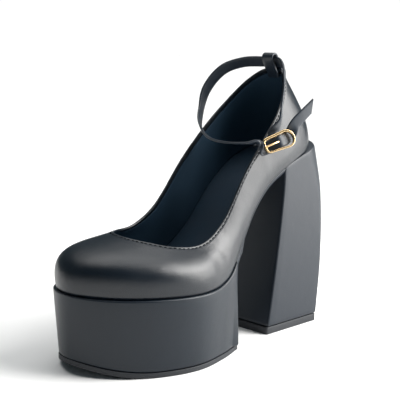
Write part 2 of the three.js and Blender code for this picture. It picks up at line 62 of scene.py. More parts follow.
# The drawing is in millimetres from the middle of the heel's foot, toe towards -Y.
drawing = {"unit": 0.001, "heelMiddle": -4.0, "breastFoot": -29.8}
footLow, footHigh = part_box("heel_top_piece")
drawingPlace = Vector((
    (footLow.x + footHigh.x) / 2 - drawing["heelMiddle"] * drawing["unit"],
    footLow.y - drawing["breastFoot"] * drawing["unit"],
    0,
))


def metres(p):
    return drawingPlace + Vector(p) * drawing["unit"]


def mix(a, b, t):
    return a + (b - a) * t


def clamp(t, low=0.0, high=1.0):
    return max(low, min(high, t))


def smooth(t):
    t = clamp(t)
    return t * t * (3 - 2 * t)


def readTable(rows, by, want, at):
    # smooth value of one column where another column is at
    i = 0
    while i < len(rows) - 2 and at > rows[i + 1][by]:
        i += 1

    def slope(k):
        a, b = rows[max(k - 1, 0)], rows[min(k + 1, len(rows) - 1)]
        return (b[want] - a[want]) / (b[by] - a[by])

    span = rows[i + 1][by] - rows[i][by]
    t = (at - rows[i][by]) / span
    rest = 1 - t
    return (
        (1 + 2 * t) * rest * rest * rows[i][want]
        + t * rest * rest * span * slope(i)
        + t * t * (3 - 2 * t) * rows[i + 1][want]
        - t * t * rest * span * slope(i + 1)
    )


def table(columns, *rows):
    names = columns.split()
    return [dict(zip(names, row)) for row in rows]


def spline(points, closed=False):
    # centripetal curve through points, as a function of a share from 0 to 1
    points = [Vector(p) for p in points]
    count = len(points)

    def at(share):
        along = share % 1 * count if closed else clamp(share) * (count - 1)
        i = min(int(along), count - 1 if closed else count - 2)
        w = along - i
        p1, p2 = points[i], points[(i + 1) % count]
        p0 = points[i - 1] if closed or i > 0 else 2 * p1 - p2
        p3 = points[(i + 2) % count] if closed or i + 2 < count else 2 * p2 - p1
        d0, d1, d2 = [max((b - a).length, 1e-6) ** 0.5 for a, b in ((p0, p1), (p1, p2), (p2, p3))]
        m1 = ((p1 - p0) / d0 - (p2 - p0) / (d0 + d1) + (p2 - p1) / d1) * d1
        m2 = ((p2 - p1) / d1 - (p3 - p1) / (d1 + d2) + (p3 - p2) / d2) * d1
        return (
            p1 + m1 * w + (-3 * p1 + 3 * p2 - 2 * m1 - m2) * w ** 2
            + (2 * p1 - 2 * p2 + m1 + m2) * w ** 3
        )

    return at


def heading(curve, share, step=0.0005):
    low, high = max(share - step, 0), min(share + step, 1)
    return (curve(high) - curve(low)).normalized()


def flatTo(v, direction):
    return (v - direction * v.dot(direction)).normalized()


class Signal:
    # a shader socket that adds its Math nodes when it stands in an expression
    def __init__(self, finish, socket):
        self.finish, self.socket = finish, socket

    def math(self, operation, first, second=None):
        values = {0: first} if second is None else {0: first, 1: second}
        return self.finish.node("ShaderNodeMath", {"operation": operation}, values)

    def __add__(self, other):
        return self.math("ADD", self, other)

    def __radd__(self, other):
        return self.math("ADD", other, self)

    def __sub__(self, other):
        return self.math("SUBTRACT", self, other)

    def __rsub__(self, other):
        return self.math("SUBTRACT", other, self)

    def __mul__(self, other):
        return self.math("MULTIPLY", self, other)

    def __rmul__(self, other):
        return self.math("MULTIPLY", other, self)

    def limited(self, low, high):
        return self.math("MINIMUM", self.math("MAXIMUM", self, low), high)


class Finish:
    # one material and its nodes
    def __init__(self, name):
        self.material = bpy.data.materials.new(name)
        self.material.use_nodes = True
        self.tree = self.material.node_tree
        self.shader = self.tree.nodes["Principled BSDF"]
        self.place = self.node("ShaderNodeTexCoord", output="Object")

    def node(self, kind, settings=None, inputs=None, output=0):
        made = self.tree.nodes.new(kind)
        for key, value in (settings or {}).items():
            setattr(made, key, value)
        for key, value in (inputs or {}).items():
            self.feed(made.inputs[key], value)
        return Signal(self, made.outputs[output])

    def feed(self, socket, value):
        if isinstance(value, Signal):
            self.tree.links.new(value.socket, socket)
        else:
            socket.default_value = value

    def set(self, **values):
        for key, value in values.items():
            self.feed(self.shader.inputs[key.replace("_", " ")], value)
        return self.material

    def noise(self, size, detail=3.0, roughness=0.55):
        # size is the pattern's own size in millimetres
        scale = 1 / (size * drawing["unit"])
        place = self.node("ShaderNodeMapping", {}, {"Vector": self.place, "Scale": [scale] * 3})
        inputs = {"Vector": place, "Scale": 1.0, "Detail": detail, "Roughness": roughness}
        return self.node("ShaderNodeTexNoise", {}, inputs)

    def cells(self, size):
        inputs = {"Vector": self.place, "Scale": 1 / (size * drawing["unit"]), "Randomness": 1.0}
        return self.node("ShaderNodeTexVoronoi", {}, inputs)

    def blend(self, share, a, b):
        inputs = {0: share, 6: (*a, 1), 7: (*b, 1)}
        return self.node("ShaderNodeMix", {"data_type": "RGBA"}, inputs, output=2)

    def bump(self, height, depth, under=None):
        # depth is the relief in millimetres
        inputs = {"Height": height, "Strength": 1.0, "Distance": depth * drawing["unit"]}
        if under is not None:
            inputs["Normal"] = under
        return self.node("ShaderNodeBump", {}, inputs)


# dark and light are the two tones, grain the relief in millimetres and shine the specular level
leatherLook = {
    "upper": {
        "dark": (0.0015, 0.0045, 0.0090), "light": (0.0035, 0.0070, 0.0120),
        "roughness": 0.33, "grain": 0.055, "shine": 0.5, "waves": 0.22,
    },
    "cover": {
        "dark": (0.0012, 0.0055, 0.0115), "light": (0.0032, 0.0086, 0.0155),
        "roughness": 0.4, "grain": 0.03, "shine": 0.38, "waves": 0.12,
    },
    "heel": {
        "dark": (0.0032, 0.0082, 0.0155), "light": (0.0068, 0.0120, 0.0200),
        "roughness": 0.42, "grain": 0.02, "shine": 0.4, "waves": 0.12,
    },
    "strap": {
        "dark": (0.0040, 0.0100, 0.0190), "light": (0.0080, 0.0150, 0.0250),
        "roughness": 0.42, "grain": 0.03, "shine": 0.5, "waves": 0.12,
    },
    "lining": {
        "dark": (0.0090, 0.0280, 0.0510), "light": (0.0130, 0.0350, 0.0610),
        "roughness": 0.7, "grain": 0.03, "shine": 0.25, "waves": 0.12,
    },
    "sock": {
        "dark": (0.0120, 0.0340, 0.0600), "light": (0.0240, 0.0400, 0.0620),
        "roughness": 0.7, "grain": 0.05, "shine": 0.25, "waves": 0.12,
    },
}
# the sizes in millimetres of the leather's patches of tone, soft waves, fine grain and pores
leatherScale = {"patches": 26, "waves": 9, "grain": 0.9, "pores": 0.55}
rubberLook = {"dark": (0.010, 0.012, 0.016), "light": (0.016, 0.019, 0.024), "roughness": 0.52}
threadLook = {"dark": (0.002, 0.003, 0.005), "light": (0.006, 0.008, 0.011), "roughness": 0.75}
goldLook = {"dark": (0.80, 0.55, 0.27), "light": (0.90, 0.68, 0.40), "roughness": 0.2}


def leather(key):
    look = leatherLook[key]
    f = Finish(key + "Leather")
    patches = f.noise(leatherScale["patches"], 4, 0.6)
    tone = (patches * 1.8 - 0.4).limited(0, 1)
    pores = f.cells(leatherScale["pores"])
    grain = f.noise(leatherScale["grain"], 4, 0.65)
    relief = f.bump(pores, look["grain"], f.bump(grain, look["grain"] * 1.4))
    broad = f.bump(f.noise(leatherScale["waves"], 2, 0.5), look["waves"], relief)
    roughness = look["roughness"] + (patches - 0.5) * 0.16 + (grain - 0.5) * 0.1
    return f.set(
        Base_Color=f.blend(tone, look["dark"], look["light"]),
        Roughness=roughness,
        Normal=broad,
        Specular_IOR_Level=look["shine"],
    )


def rubber():
    f = Finish("treadRubber")
    grain = f.noise(0.6, 3, 0.6)
    return f.set(
        Base_Color=f.blend(f.noise(14), rubberLook["dark"], rubberLook["light"]),
        Roughness=rubberLook["roughness"] + grain * 0.16,
        Normal=f.bump(grain, 0.03),
        Specular_IOR_Level=0.45,
    )


def thread():
    f = Finish("blackThread")
    return f.set(
        Base_Color=f.blend(f.noise(0.35, 2, 0.5), threadLook["dark"], threadLook["light"]),
        Roughness=threadLook["roughness"],
        Specular_IOR_Level=0.2,
    )


def gold():
    f = Finish("paleGold")
    wear = f.noise(3.2, 3, 0.6)
    return f.set(
        Base_Color=f.blend(wear, goldLook["dark"], goldLook["light"]),
        Metallic=1.0,
        Roughness=goldLook["roughness"] + wear * 0.1,
        Normal=f.bump(f.noise(0.8, 2, 0.5), 0.006),
    )


materials = {key: leather(key) for key in leatherLook}
materials.update(rubber=rubber(), thread=thread(), gold=gold())
print("finishes made")


def finishPiece(bm, name, material, replaced=(), angle=None):
    mesh = bpy.data.meshes.new(name)
    bm.to_mesh(mesh)
    bm.free()
    mesh.materials.append(materials[material])
    mesh.shade_smooth()
    piece = bpy.data.objects.new(name, mesh)
    bpy.context.scene.collection.objects.link(piece)
    if angle is not None:
        mesh.set_sharp_from_angle(angle=math.radians(angle))
    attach(piece, "root")
    if replaced:
        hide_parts(*replaced)


def loft(rows, closed=False):
    # a grid laid over rows of points: each row is a ring, and closed joins the last row to the first
    count, around = len(rows), len(rows[0])
    lengthwise = count if closed else count - 1
    bm = bmesh.new()
    bmesh.ops.create_grid(bm, x_segments=lengthwise, y_segments=around, size=0.5)
    for v in bm.verts:
        i, j = round((v.co.x + 0.5) * lengthwise), round((v.co.y + 0.5) * around)
        v.co = metres(rows[i % count][j % around])
    bmesh.ops.remove_doubles(bm, verts=bm.verts, dist=1e-6)
    if not closed:
        bmesh.ops.holes_fill(bm, edges=bm.edges, sides=0)
    bmesh.ops.recalc_face_normals(bm, faces=bm.faces)
    return bm


# The line the foot stands on, from toe to heel.
seatLine = table(
    "y z",
    (-192, 53.5), (-150, 52.5), (-110, 52.2), (-95, 54.2), (-82, 60.5), (-65, 78.5),
    (-50, 97.3), (-35, 111.3), (-18, 121.8), (5, 131.0), (38, 142.0),
)
# Where the wall meets the seat (out, in), where its topline lies, and how the wall bends between the two:
# rise, lean and reach at its foot, drop and belly at its top.
sections = table(
    "y out in lineY lineZ lineOut lineIn rise lean reach drop belly",
    (-188.5, -9.5, -9.5, -143.5, 85.8, -4, -4, 0.76, 4.4, 0.68, 0.17, 0),
    (-178.5, 16, -33, -138.5, 84.2, 14, -18.5, 0.82, 5.5, 0.69, 0.18, 0),
    (-154, 36.5, -45.5, -126.5, 81.6, 26.5, -29, 0.76, 5, 0.62, 0.2, 0),
    (-122, 46, -46.5, -107, 81.4, 31, -33, 0.62, 4, 0.5, 0.25, 0),
    (-92, 41, -38, -86, 92, 29.6, -33.7, 0.5, 2.5, 0.4, 0.3, 0),
    (-62, 30.5, -28, -57, 125, 25.4, -33.6, 0.35, 1.5, 0.3, 0.35, 0.3),
    (-34, 25.4, -29, -34, 148, 22.4, -31.5, 0.35, 2.5, 0.3, 0.35, 0.8),
    (-6, 24.6, -32.4, -15.5, 166.5, 18.5, -27.5, 0.35, 3.5, 0.3, 0.32, 2.2),
    (16, 20.6, -28.4, -3, 183.4, 12, -19.5, 0.35, 3, 0.28, 0.3, 3.1),
    (29.5, 8.6, -16.6, 4.2, 193.8, 4, -11.5, 0.35, 1.5, 0.25, 0.3, 3.2),
    (33.2, -4, -4, 5.8, 195.4, -4, -4, 0.35, 1, 0.25, 0.3, 3),
)
last = {
    "innerAhead": 6, "innerLift": 5.5, "innerBulge": 2.6,  # how the inner topline differs from the outer
    "wall": 2.0, "leather": 1.0, "rim": 0.95, "facing": 3.6,  # the leather's thickness and turned-in edge
    "around": 300, "liningAround": 220,
}


def seat(y):
    return readTable(seatLine, "y", "z", y)


def seatSlope(y):
    return seat(y + 0.5) - seat(y - 0.5)


def roundTheShoe(outerPoint, innerPoint):
    # once round: toe, outer side, back, inner side
    inner = sections[-2:0:-1]
    return spline([outerPoint(r) for r in sections] + [innerPoint(r) for r in inner], closed=True)


def innerTop(r):
    share = math.sin(math.pi * sections.index(r) / (len(sections) - 1))
    bulge = math.sin(math.pi * clamp((sections.index(r) - 5) / 4))
    lift = last["innerLift"] * share + last["innerBulge"] * bulge
    return (r["lineIn"], r["lineY"] - last["innerAhead"] * share, r["lineZ"] + lift)


lowerEdge = roundTheShoe(lambda r: (r["out"], r["y"], 0), lambda r: (r["in"], r["y"], 0))
topline = roundTheShoe(lambda r: (r["lineOut"], r["lineY"], r["lineZ"]), innerTop)
atEdge = roundTheShoe(*[lambda r: (r["rise"], r["lean"], r["reach"])] * 2)
atLine = roundTheShoe(*[lambda r: (r["drop"], r["belly"], 0)] * 2)

# Soft troughs (minus) and ridges (plus) from one point to another, with their height and half width.
creases = table(
    "start end height spread",
    ((-18, -168, 74), (14, -165, 74), 0.18, 6),  # edge of the toe stiffener
    ((14, -165, 74), (32, -146, 66), 0.14, 5),
    ((28, -112, 84), (44, -100, 66), -0.3, 4.5),  # where the foot bends, outer side
    ((30, -104, 86), (41, -90, 72), -0.24, 3.5),
    ((33, -96, 88), (40, -84, 76), 0.2, 3),
    ((-32, -112, 88), (-45, -104, 68), -0.3, 4.5),  # and inner side
    ((-34, -102, 92), (-40, -90, 74), -0.22, 3.5),
    ((25, -40, 142), (27, -32, 116), 0.22, 3.5),  # front edges of the counter stiffener
    ((-33, -40, 150), (-31, -32, 118), 0.22, 3.5),
    ((20, 2, 172), (25, 8, 140), -0.16, 4),
    ((6, -143, 85), (20, -150, 76), -0.12, 5),
)
for crease in creases:
    crease["start"], crease["end"] = Vector(crease["start"]), Vector(crease["end"])


def creaseHeight(p):
    height = 0
    for c in creases:
        run = c["end"] - c["start"]
        share = clamp((p - c["start"]).dot(run) / run.length_squared)
        away = (p - c["start"] - run * share).length / c["spread"]
        if away < 3:
            height += c["height"] * math.exp(-away * away)
    return height


def wallCurve(u):
    # the four points that bend the wall at u, a share of the way round the shoe
    foot = lowerEdge(u)
    foot.z = seat(foot.y)
    top, edge, line = topline(u), atEdge(u), atLine(u)
    run = lowerEdge(u + 1e-4) - lowerEdge(u - 1e-4)
    outward = Vector((run.y, -run.x, 0)).normalized()
    height = top.z - foot.z
    start = foot + outward * edge.y + Vector((0, 0, edge.x * height))
    end = Vector((mix(top.x, foot.x, edge.z), mix(top.y, foot.y, edge.z), top.z - line.x * height))
    return foot, start, end + outward * line.y, top


def wallPoint(u, s, curve=None):
    # s runs from 0 at the seat to 1 at the topline
    a, b, c, d = curve or wallCurve(u)
    r = 1 - s
    return a * r ** 3 + b * 3 * s * r * r + c * 3 * s * s * r + d * s ** 3


def wallNormal(u, s):
    step = 0.004
    across = wallPoint(u + step, s) - wallPoint(u - step, s)
    curve = wallCurve(u)
    up = wallPoint(u, min(1, s + 0.03), curve) - wallPoint(u, max(0, s - 0.03), curve)
    return across.cross(up).normalized()


def belowTop(u, depth):
    # the share of the wall's height that lies depth millimetres under the topline
    curve = wallCurve(u)
    walked, s, previous = 0, 1.0, curve[3]
    while walked < depth and s > 0.02:
        s -= 0.004
        point = wallPoint(u, s, curve)
        walked += (point - previous).length
        previous = point
    return s


stitching = {
    "below": 2.4, "pitch": 3.3, "length": 2.2, "radius": 0.42, "groove": 0.34, "grooveWidth": 0.75,
    "proud": 0.1, "steps": 900,
}


def skinPoint(u, s, depth=99.0):
    # a point of the upper's outer face, with its creases and the groove that the stitches lie in
    p, n = wallPoint(u, s), wallNormal(u, s)
    relief = creaseHeight(p) * smooth(s * 5) * smooth(depth / 8)
    relief -= stitching["groove"] * math.exp(-((depth - stitching["below"]) / stitching["grooveWidth"]) ** 2)
    return p + n * relief


def rimPoint(u, radius, turn):
    # round the topline: turn 0 is outside and 180 inside
    s = belowTop(u, radius)
    n = wallNormal(u, s)
    centre = wallPoint(u, s) - n * radius
    up = (wallPoint(u, 1) - wallPoint(u, s)).normalized()
    a = math.radians(turn)
    return centre + n * (radius * math.cos(a)) + up * (radius * math.sin(a))


def upperSection(u):
    skin, rim = last["leather"], last["rim"]
    depths = [7, 5.5, 4.4, 3.6, 3.1, 2.7, 2.3, 1.9, 1.5, 1.2]
    low = belowTop(u, depths[0])
    ring = [skinPoint(u, low * k / 30) for k in range(30)]
    for depth in depths:
        ring.append(skinPoint(u, belowTop(u, depth), depth))
    ring += [rimPoint(u, rim, turn) for turn in (10, 35, 60, 90, 120, 145, 170)]
    turnedIn = [1.4, 2.2, 3.0, last["facing"]]
    for s in [belowTop(u, depth) for depth in turnedIn]:
        ring.append(wallPoint(u, s) - wallNormal(u, s) * (2 * rim))
    ends = belowTop(u, last["facing"] + 0.25)
    for share in (1, 0.75, 0.5, 0.25, 0):
        s = ends * share
        ring.append(wallPoint(u, s) - wallNormal(u, s) * skin)
    return ring


def liningSection(u):
    wall, skin = last["wall"], last["leather"]
    top = belowTop(u, last["facing"] + 0.5)
    ring = []
    for share in (0, 0.35, 0.7, 1):
        s = top * share
        ring.append(wallPoint(u, s) - wallNormal(u, s) * (skin + 0.12))
    for share in (1.0, 0.985, 0.93, *[k / 14 for k in range(12, -1, -1)]):
        s = top * share
        ring.append(wallPoint(u, s) - wallNormal(u, s) * (wall + 0.02 if share < 1 else wall - 0.25))
    return ring


def makeUpper():
    rows = [upperSection(k / last["around"]) for k in range(last["around"])]
    finishPiece(loft(rows, closed=True), "upperLeather", "upper", ["upper"])
    rows = [liningSection(k / last["liningAround"]) for k in range(last["liningAround"])]
    finishPiece(loft(rows, closed=True), "upperLining", "lining")
    print("upper and lining made")


def makeStitches():
    # one short thread after another, all round the topline
    steps = stitching["steps"]
    path = [wallPoint(k / steps, belowTop(k / steps, stitching["below"])) for k in range(steps + 1)]
    bm = bmesh.new()
    walked, nextAt = 0, 0
    for k in range(steps):
        walked += (path[k + 1] - path[k]).length
        if walked < nextAt:
            continue
        nextAt += stitching["pitch"]
        u = k / steps
        s = belowTop(u, stitching["below"])
        normal = wallNormal(u, s)
        along = flatTo(path[k + 1] - path[k], normal)
        side = normal.cross(along)
        turned = Matrix((along, side, normal)).transposed().to_4x4()
        spot = metres(path[k] - normal * (stitching["groove"] - stitching["proud"]))
        size = [stitching["length"] / 2, stitching["radius"], stitching["radius"]]
        scaled = Matrix.Diagonal([v * drawing["unit"] for v in size] + [1])
        bmesh.ops.create_uvsphere(
            bm, u_segments=8, v_segments=6, radius=1, matrix=Matrix.Translation(spot) @ turned @ scaled
        )
    finishPiece(bm, "toplineStitches", "thread")
    print("stitches made")


# lip is the platform's step out from the upper, spring the lift of its toe and shank the arch's thickness
sole = {
    "gap": 0.3, "outsole": 3.4, "spring": 7.0, "springFrom": -148, "lip": 1.7, "taper": 3.0,
    "back": -69, "shank": 4.2, "insole": 2.6, "corner": 4.5, "breast": -13.2, "edge": 1.3,
    "archOver": 0.2, "archIn": 2.0, "sections": 60,
}
toeTip, heelEnd = lowerEdge(0), lowerEdge(0.5)


def edgeX(y, side):
    # the upper's lower edge at y, on the outer (1) or inner (-1) side
    low, high = 0.0, 0.5
    for _ in range(30):
        middle = (low + high) / 2
        if lowerEdge(middle if side > 0 else 1 - middle).y < y:
            low = middle
        else:
            high = middle
    return lowerEdge(low if side > 0 else 1 - low).x


def outlineAt(share, end, grow):
    # the upper's lower edge between the toe and end, grown outwards
    y = mix(toeTip.y, end, 1 - math.cos(share * math.pi / 2))
    length = (end - toeTip.y) / (end - toeTip.y + grow)
    grownY = mix(toeTip.y - grow, end, (y - toeTip.y) / (end - toeTip.y))
    ends = [edgeX(y, side) for side in (1, -1)]
    middle, half = sum(ends) / 2, abs(ends[0] - ends[1]) / 2
    widen = 0 if share == 0 else grow * math.sqrt(clamp(half / 44 * length))
    return {"y": grownY, "out": middle + half + widen, "in": middle - half - widen}


def toeLift(y):
    return sole["spring"] * clamp((sole["springFrom"] - y) / (sole["springFrom"] - toeTip.y)) ** 2.2


def soleRing(top, topZ, foot, footZ, edge, walls=7, pull=None):
    # one section: over the outer top edge, down the wall, under, and up the inner wall
    outer, inner = [], []
    height = topZ - footZ
    arc = [math.radians(a) for a in (0, 22, 45, 68, 90)]
    spots = [(edge * (1 - math.sin(a)), edge * (1 - math.cos(a))) for a in arc]  # in from the side, and down
    levels = [(inset, drop / height) for inset, drop in spots]
    levels += [(0, mix(edge / height, 1 - edge / height, k / walls)) for k in range(1, walls)]
    levels += [(inset, 1 - drop / height) for inset, drop in reversed(spots)]
    for inset, w in levels:
        z, y = mix(topZ, footZ, w), mix(top["y"], foot["y"], w)
        follow = pull(w) if pull else w
        middle = mix(top["out"] + top["in"], foot["out"] + foot["in"], follow) / 2
        for side, sign, points in (("out", 1, outer), ("in", -1, inner)):
            half = abs(mix(top[side], foot[side], follow) - middle)
            points.append(Vector((middle + sign * max(0, half - inset), y, z)))
    return outer + inner[::-1]


def coverTop(y):
    return seat(y) - sole["gap"]


def outlineIn(y, inset):
    return {"y": y, "out": edgeX(y, 1) - inset, "in": edgeX(y, -1) + inset}


def rearSteps():
    # (y, how far the corner is in, height): round the rear corners, up the rear face and under the arch
    back, corner = sole["back"], sole["corner"]
    steps = []
    for a in map(math.radians, (5, 20, 36, 52, 68, 80, 90)):
        steps.append((back - corner + corner * math.sin(a), corner * (1 - math.cos(a)), 0))
    steps += [(back, corner, z) for z in (1.5, 8, 18, 28, 37, 43)]
    for dy, z in ((0.3, 47), (1.0, 51), (2.2, 55.2), (4, 59.6), (6.2, 63.8)):
        steps.append((back + dy, corner - 0.25 * dy, z))
    return steps


def makePlatform():
    rows = []
    base = sole["outsole"] + sole["gap"]
    for k in range(sole["sections"] + 1):
        share = k / sole["sections"]
        top = outlineAt(share, sole["back"] - 8, sole["lip"])
        foot = outlineAt(share, sole["back"] - 8, sole["lip"] - sole["taper"])
        rows.append(soleRing(top, coverTop(top["y"]), foot, base + toeLift(foot["y"]), sole["edge"]))
    steps = rearSteps()
    for k, (footY, corner, climb) in enumerate(steps):
        topY = mix(sole["back"] - 7, sole["back"] + 5.2, k / (len(steps) - 1))
        top, foot = outlineIn(topY, -sole["archOver"]), {**outlineIn(topY, corner * 0.8), "y": footY}
        ring = soleRing(top, coverTop(topY), foot, base + climb, sole["edge"], pull=lambda w: smooth(w * 3))
        rows.append(ring)
    for k in range(29):
        y = mix(sole["back"] + 8, sole["breast"] - sole["gap"], k / 28)
        top, foot = outlineIn(y, -sole["archOver"]), outlineIn(y, sole["archIn"])
        thick = sole["shank"] * math.hypot(1, seatSlope(y))
        rows.append(soleRing(top, coverTop(y), foot, coverTop(y) - thick, sole["edge"]))
    finishPiece(loft(rows), "platformCover", "cover", ["platform"], angle=60)
    print("platform made")


def makeOutsole():
    rows = []
    for k in range(sole["sections"] + 1):
        top = outlineAt(k / sole["sections"], sole["back"] - 1.0, sole["lip"] - sole["taper"] + 0.25)
        lift = toeLift(top["y"])
        rows.append(soleRing(top, sole["outsole"] + lift, top, lift, 0.35, walls=3))
    finishPiece(loft(rows), "outsoleTread", "rubber", ["outsole"], angle=50)


def makeInsole():
    inset = last["wall"] + 0.35
    middleY, reach = (toeTip.y + heelEnd.y) / 2, (heelEnd.y - toeTip.y) / 2
    rows = []
    steps = 90
    for k in range(1, steps):
        turn = math.cos(math.pi * k / steps)
        y, shown = middleY - reach * turn, middleY - (reach - inset) * turn
        out, inn = edgeX(y, 1), edgeX(y, -1)
        half = (out - inn) / 2
        kept = max(0.5, half - inset * min(1, half / 12))
        up = sole["insole"] * math.hypot(1, seatSlope(shown))
        base = seat(shown)
        across = [-1, -0.985, -0.93, -0.8, -0.6, -0.35, 0, 0.35, 0.6, 0.8, 0.93, 0.985, 1]
        ring = []
        for c in across:
            crown = 0.55 * (abs(c) ** 4) - (1.1 * max(0, abs(c) - 0.94) / 0.06 if abs(c) > 0.94 else 0)
            ring.append(Vector(((out + inn) / 2 + c * kept, shown, base + up + crown)))
        ring += [Vector(((out + inn) / 2 + c * kept, shown, base + 0.15)) for c in (1, 0.5, 0, -0.5, -1)]
        rows.append(ring)
    finishPiece(loft(rows), "insoleSock", "sock", ["insole"], angle=60)
    print("outsole and insole made")


# The heel's back line and how far its rear corners are rounded, at each height.
heelShape = table(
    "z back corner",
    (0, 28.3, 1.5), (49, 34.4, 4), (96, 37.0, 11), (127, 35.2, 20), (142, 34.0, 26),
)
heel = {
    "half": 29, "narrow": 0.6, "breastTop": -13.2, "flare": 1.25, "lift": 5.5, "arris": 1.3,
    "fullRise": 124, "top": 134, "edge": 0.55, "liftEdge": 0.35, "levels": 40,
}


def heelOutline(z, shrink=0.0):
    # the whole outline at height z: outer front corner, round the back, to the inner front corner
    rise = clamp(z / heel["fullRise"])
    lean = (drawing["breastFoot"] - heel["breastTop"]) * (1 - rise) ** heel["flare"]
    front = heel["breastTop"] + lean + shrink
    back = readTable(heelShape, "z", "back", z) - shrink
    corner = readTable(heelShape, "z", "corner", z)
    half = heel["half"] - heel["narrow"] * rise - shrink
    arris = heel["arris"]
    side = [(half * 0.5, front), (half - arris - 1, front)]
    for a in map(math.radians, (0, 30, 60, 90)):
        side.append((half - arris * (1 - math.sin(a)), front + arris * (1 - math.cos(a))))
    side += [(half, mix(front + arris, back - corner, k / 8)) for k in range(1, 9)]
    for a in map(math.radians, range(6, 91, 6)):
        side.append((half - corner * (1 - math.cos(a)), back - corner * (1 - math.sin(a))))
    side.append(((half - corner) / 2, back))
    return side + [(-x, y) for x, y in reversed(side)]


def makeHeel():
    foot = heel["lift"] + heel["edge"]
    levels = [k / heel["levels"] for k in range(1, heel["levels"])]
    levels = [0, 0.003, 0.008, *levels, 0.985, 0.994, 0.998, 1]
    rows = []
    for level in levels:
        rounded = max(0, 0.008 - level) / 0.008 + max(0, level - 0.99) / 0.01
        ring = []
        for x, y in heelOutline(mix(foot, heel["top"], level), heel["edge"] * rounded * rounded):
            ring.append(Vector((drawing["heelMiddle"] + x, y, mix(foot, seat(y) - 0.2, level))))
        rows.append(ring)
    finishPiece(loft(rows), "heelCover", "heel", ["heel_block"], angle=50)

    bm = bmesh.new()
    corners = [bm.verts.new(metres((drawing["heelMiddle"] + x, y, 0))) for x, y in heelOutline(0, 0.1)]
    face = bm.faces.new(corners)
    pushed = bmesh.ops.extrude_face_region(bm, geom=[face])
    risen = [g for g in pushed["geom"] if isinstance(g, bmesh.types.BMVert)]
    bmesh.ops.translate(bm, verts=risen, vec=(0, 0, heel["lift"] * drawing["unit"]))
    bmesh.ops.recalc_face_normals(bm, faces=bm.faces)
    flatEdges = [e for e in bm.edges if abs(e.verts[0].co.z - e.verts[1].co.z) < 1e-6]
    bmesh.ops.bevel(
        bm, geom=flatEdges, offset=heel["liftEdge"] * drawing["unit"], offset_type="OFFSET", affect="EDGES",
        segments=3, profile=0.5, material=-1,
    )
    finishPiece(bm, "heelTopPiece", "rubber", ["heel_top_piece"], angle=40)
    print("heel made")


buckle = {
    "middle": Vector((34, -32.9, 145.4)), "along": Vector((0.4, 0.88, 0.28)).normalized(),
    "length": 24.4, "width": 13, "wall": 1.3, "height": 3, "corner": 3, "bar": 0.8, "prong": 0.75, "gap": 0.3,
    "upperFront": 0.65, "lowerFront": 0.95, "upperRail": 0.5,
}
buckle["out"] = flatTo(Vector((0.82, -0.42, 0.36)), buckle["along"])
buckle["across"] = buckle["out"].cross(buckle["along"])
buckle["barDepth"] = -buckle["height"] / 2 - buckle["gap"] - buckle["bar"]


def onBuckle(along, across, out):
    # a point in the buckle's own directions: backwards along the strap, up across it and out of the shoe
    return buckle["middle"] + buckle["along"] * along + buckle["across"] * across + buckle["out"] * out


tab = {"width": 10.5, "thick": 1.6, "from": 0.74, "rise": 14, "inside": 1.7, "gap": 0.3, "strapGap": 1.3}
strap = {"width": 8.8, "thick": 1.7, "slant": 7.5, "steps": 300}
rim = wallPoint(0.5, 1)
tab["up"] = (rim - wallPoint(0.5, 0.97)).normalized()
tab["back"] = Vector((0, tab["up"].z, -tab["up"].y))
tab["outer"] = tab["gap"] + tab["thick"] / 2
tab["inner"] = -last["wall"] - tab["gap"] - tab["thick"] / 2 - tab["inside"]
tab["middle"] = (tab["outer"] + tab["inner"]) / 2
tab["turn"] = (tab["outer"] - tab["inner"]) / 2
tab["strapRise"] = tab["rise"] - tab["thick"] - tab["strapGap"] - strap["width"] / 2


def aboveCollar(rise, off, x=0.0):
    # over the back of the collar: rise up from its rim, off backwards
    return rim + tab["up"] * rise + tab["back"] * off + Vector((x, 0, 0))


# The strap's middle line, and the direction across it, from the buckle's bar to its loose tip.
columns = "x y z wx wy wz"
legUp = table(
    columns,
    (29.4, -26.9, 160, 0.56, -0.74, 0.3), (27.0, -22.8, 169.1, 0.6, -0.7, 0.35),
    (24.0, -17.8, 178.4, 0.62, -0.68, 0.36), (20.6, -13.2, 187.4, 0.55, -0.7, 0.4),
    (14.0, -6.4, 196.4, 0.34, -0.66, 0.6),
)
roundFront = table(
    columns,
    (-24.0, -8.2, 199.4, 0.04, -0.6, 0.8), (-35.8, -18.2, 193.6, -0.06, -0.68, 0.72),
    (-42.4, -29.0, 179, -0.05, -0.83, 0.55), (-41.3, -36.1, 163, 0.3, -0.8, 0.52),
    (-26.3, -51.0, 151.8, 0.2, -0.6, 0.76), (-16.4, -53.0, 145.6, -0.2, -0.82, 0.5),
    (-1.4, -57.5, 144, -0.1, -0.97, 0.2), (13.4, -58.2, 143.9, 0.31, -0.94, 0.11),
    (22.8, -53.8, 144.5, 0.5, -0.84, 0.14), (27.2, -49.2, 145, 0.34, -0.86, 0.4),
)
underBuckle = table(
    "along across out",
    (-13.6, -1.4, -3.3), (-6.5, -0.8, -3.1), (0, -0.42, -0.2), (5.5, 0.3, -1.6), (11.4, 2.6, -3.5),
)
tail = table(
    columns,
    (36.0, -17.8, 157.2, -0.2, -0.62, 0.72), (38.2, -12, 163.3, -0.08, -0.68, 0.7),
    (40.2, -5, 169.4, 0, -0.72, 0.69),
)


